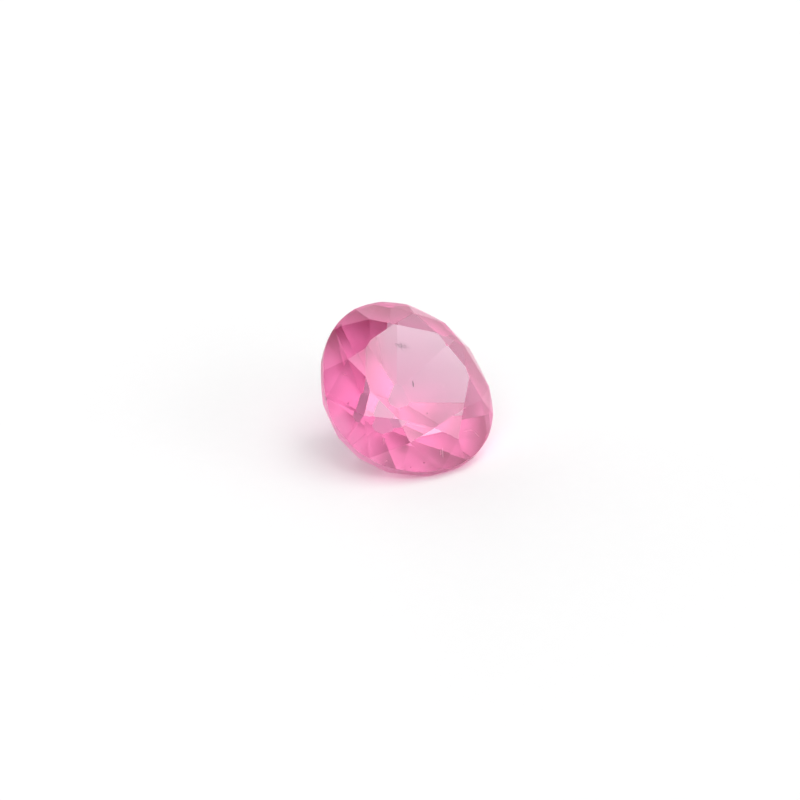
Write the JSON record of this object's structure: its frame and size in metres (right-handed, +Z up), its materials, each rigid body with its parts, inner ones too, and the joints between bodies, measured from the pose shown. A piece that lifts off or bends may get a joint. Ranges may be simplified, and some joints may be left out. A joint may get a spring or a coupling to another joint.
{
  "type": "faceted ruby gemstone",
  "caption": "Loose transparent pink-red ruby in a near-round mixed cut, with a flat table, kite and star facets, a thin girdle and a shallow pavilion with a small flat culet, lying on one pavilion facet.",
  "frame": {"origin": "middle of the base of the stone's box, on the surface that it rests on", "axes": "+Z up, -Z out of the pavilion facet that it rests on; the stone's table leans over towards +X and -Y"},
  "size_m": [0.0066, 0.0062, 0.0048],
  "materials": {
    "ruby": "polished and ground corundum, see-through pink-red"
  },
  "bodies": {
    "root": {"ruby": "ruby"}
  },
  "joints": []
}
